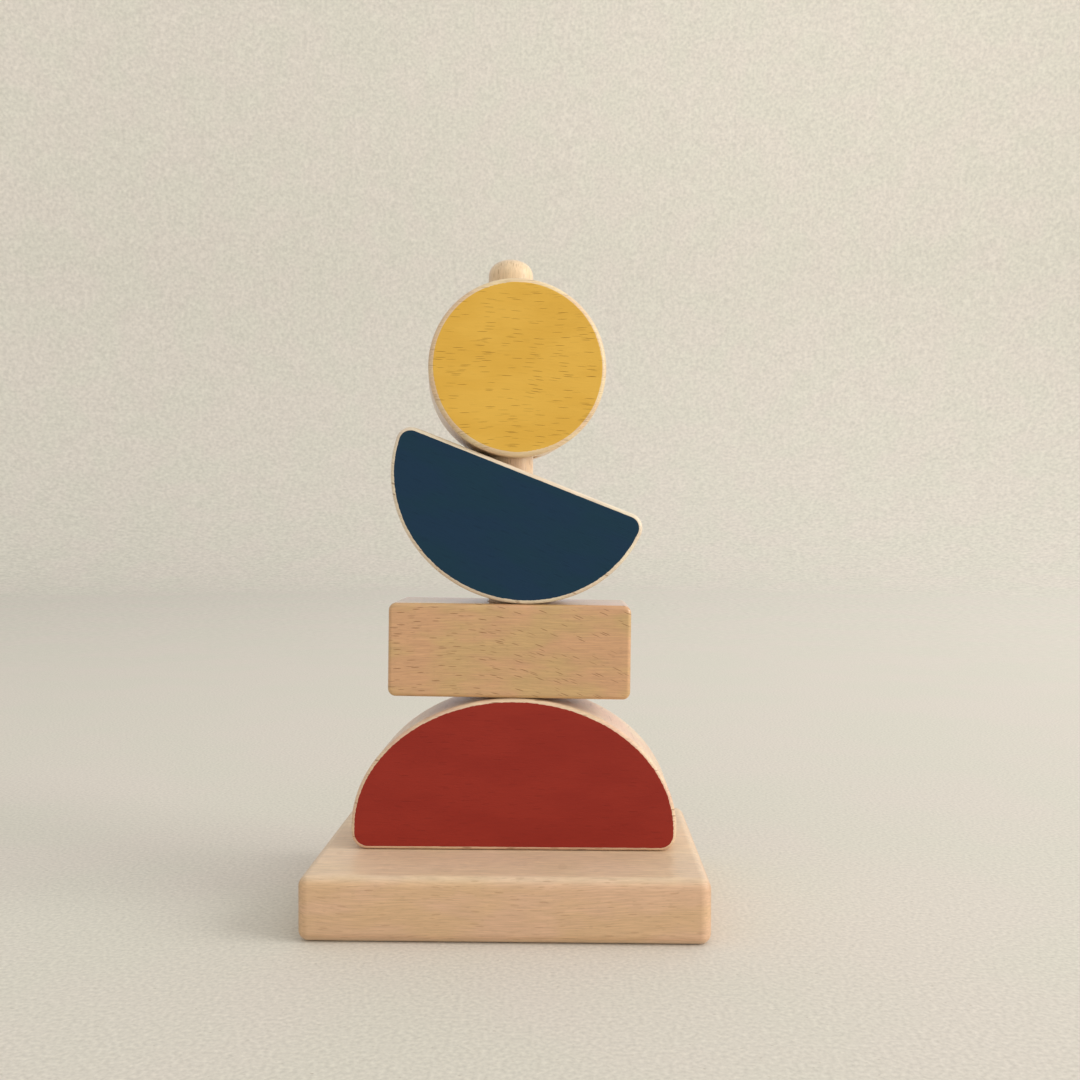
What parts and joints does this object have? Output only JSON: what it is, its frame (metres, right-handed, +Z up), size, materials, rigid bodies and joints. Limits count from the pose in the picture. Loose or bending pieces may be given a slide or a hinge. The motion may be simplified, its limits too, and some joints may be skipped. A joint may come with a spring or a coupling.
{
  "type": "stacking toy",
  "caption": "Wooden stacking toy: painted half-discs, a plain block and a disc threaded on a round post that stands in a flat rectangular base.",
  "frame": {"origin": "on the post's axis, on the underside of the base", "axes": "+Z up along the post, -Y towards the painted fronts, +X to the viewer's right"},
  "size_m": [0.15, 0.11, 0.2586],
  "materials": {
    "beech_board": "sanded and oiled, matt",
    "beech_dowel": "sanded and oiled, matt",
    "beech_block": "sanded and oiled, matt",
    "red_painted_beech": "matt water-based paint on the flat faces, bare oiled edges",
    "blue_painted_beech": "matt water-based paint on the flat faces, bare oiled edges",
    "yellow_painted_beech": "matt water-based paint on the flat faces, bare oiled edges"
  },
  "bodies": {
    "stand": {"base": "beech_board", "post": "beech_dowel"},
    "red_half_disc": {"red_half_disc": "red_painted_beech"},
    "block": {"block": "beech_block"},
    "blue_half_disc": {"blue_half_disc": "blue_painted_beech"},
    "yellow_disc": {"yellow_disc": "yellow_painted_beech"}
  },
  "joints": [
    {"name": "red_half_disc_lift", "type": "slide", "parent": "stand", "child": "red_half_disc", "axis": [0, 0, 1], "range_m": [0, 0.24]},
    {"name": "block_lift", "type": "slide", "parent": "red_half_disc", "child": "block", "axis": [0, 0, 1], "range_m": [0, 0.18]},
    {"name": "blue_half_disc_lift", "type": "slide", "parent": "block", "child": "blue_half_disc", "axis": [0, 0, 1], "range_m": [0, 0.145]},
    {"name": "yellow_disc_lift", "type": "slide", "parent": "blue_half_disc", "child": "yellow_disc", "axis": [0, 0, 1], "range_m": [0, 0.088]}
  ]
}
